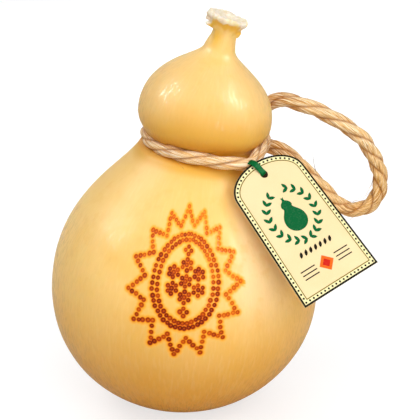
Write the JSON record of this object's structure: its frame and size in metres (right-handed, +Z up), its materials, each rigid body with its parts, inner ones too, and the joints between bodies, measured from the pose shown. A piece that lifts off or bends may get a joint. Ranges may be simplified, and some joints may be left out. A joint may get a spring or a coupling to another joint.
{
  "type": "caciocavallo cheese",
  "caption": "Pear-shaped stretched-curd cheese with a round head and torn stalk, tied at the neck with a sisal rope that leaves a hanging loop, and carrying a card tag on a rubber band.",
  "frame": {"origin": "on the flat spot that the cheese stands on, under the middle of its widest ring", "axes": "+Z up from the flat spot toward the head, +X to the side that the stalk leans to and the rope's loop hangs on, -Y toward the side that the tag faces"},
  "size_m": [0.185, 0.1515, 0.2218],
  "materials": {
    "cheese": "smooth waxy rind with a soft sheen, white where the stalk is torn",
    "rope": "three-strand twisted sisal with loose hairs",
    "card": "smooth cream card with plain printed ornament",
    "band": "smooth green rubber"
  },
  "bodies": {
    "root": {"cheese": "cheese", "neck_rope": "rope", "hang_loop": "rope", "tag": "card", "tag_band": "band"}
  },
  "joints": []
}
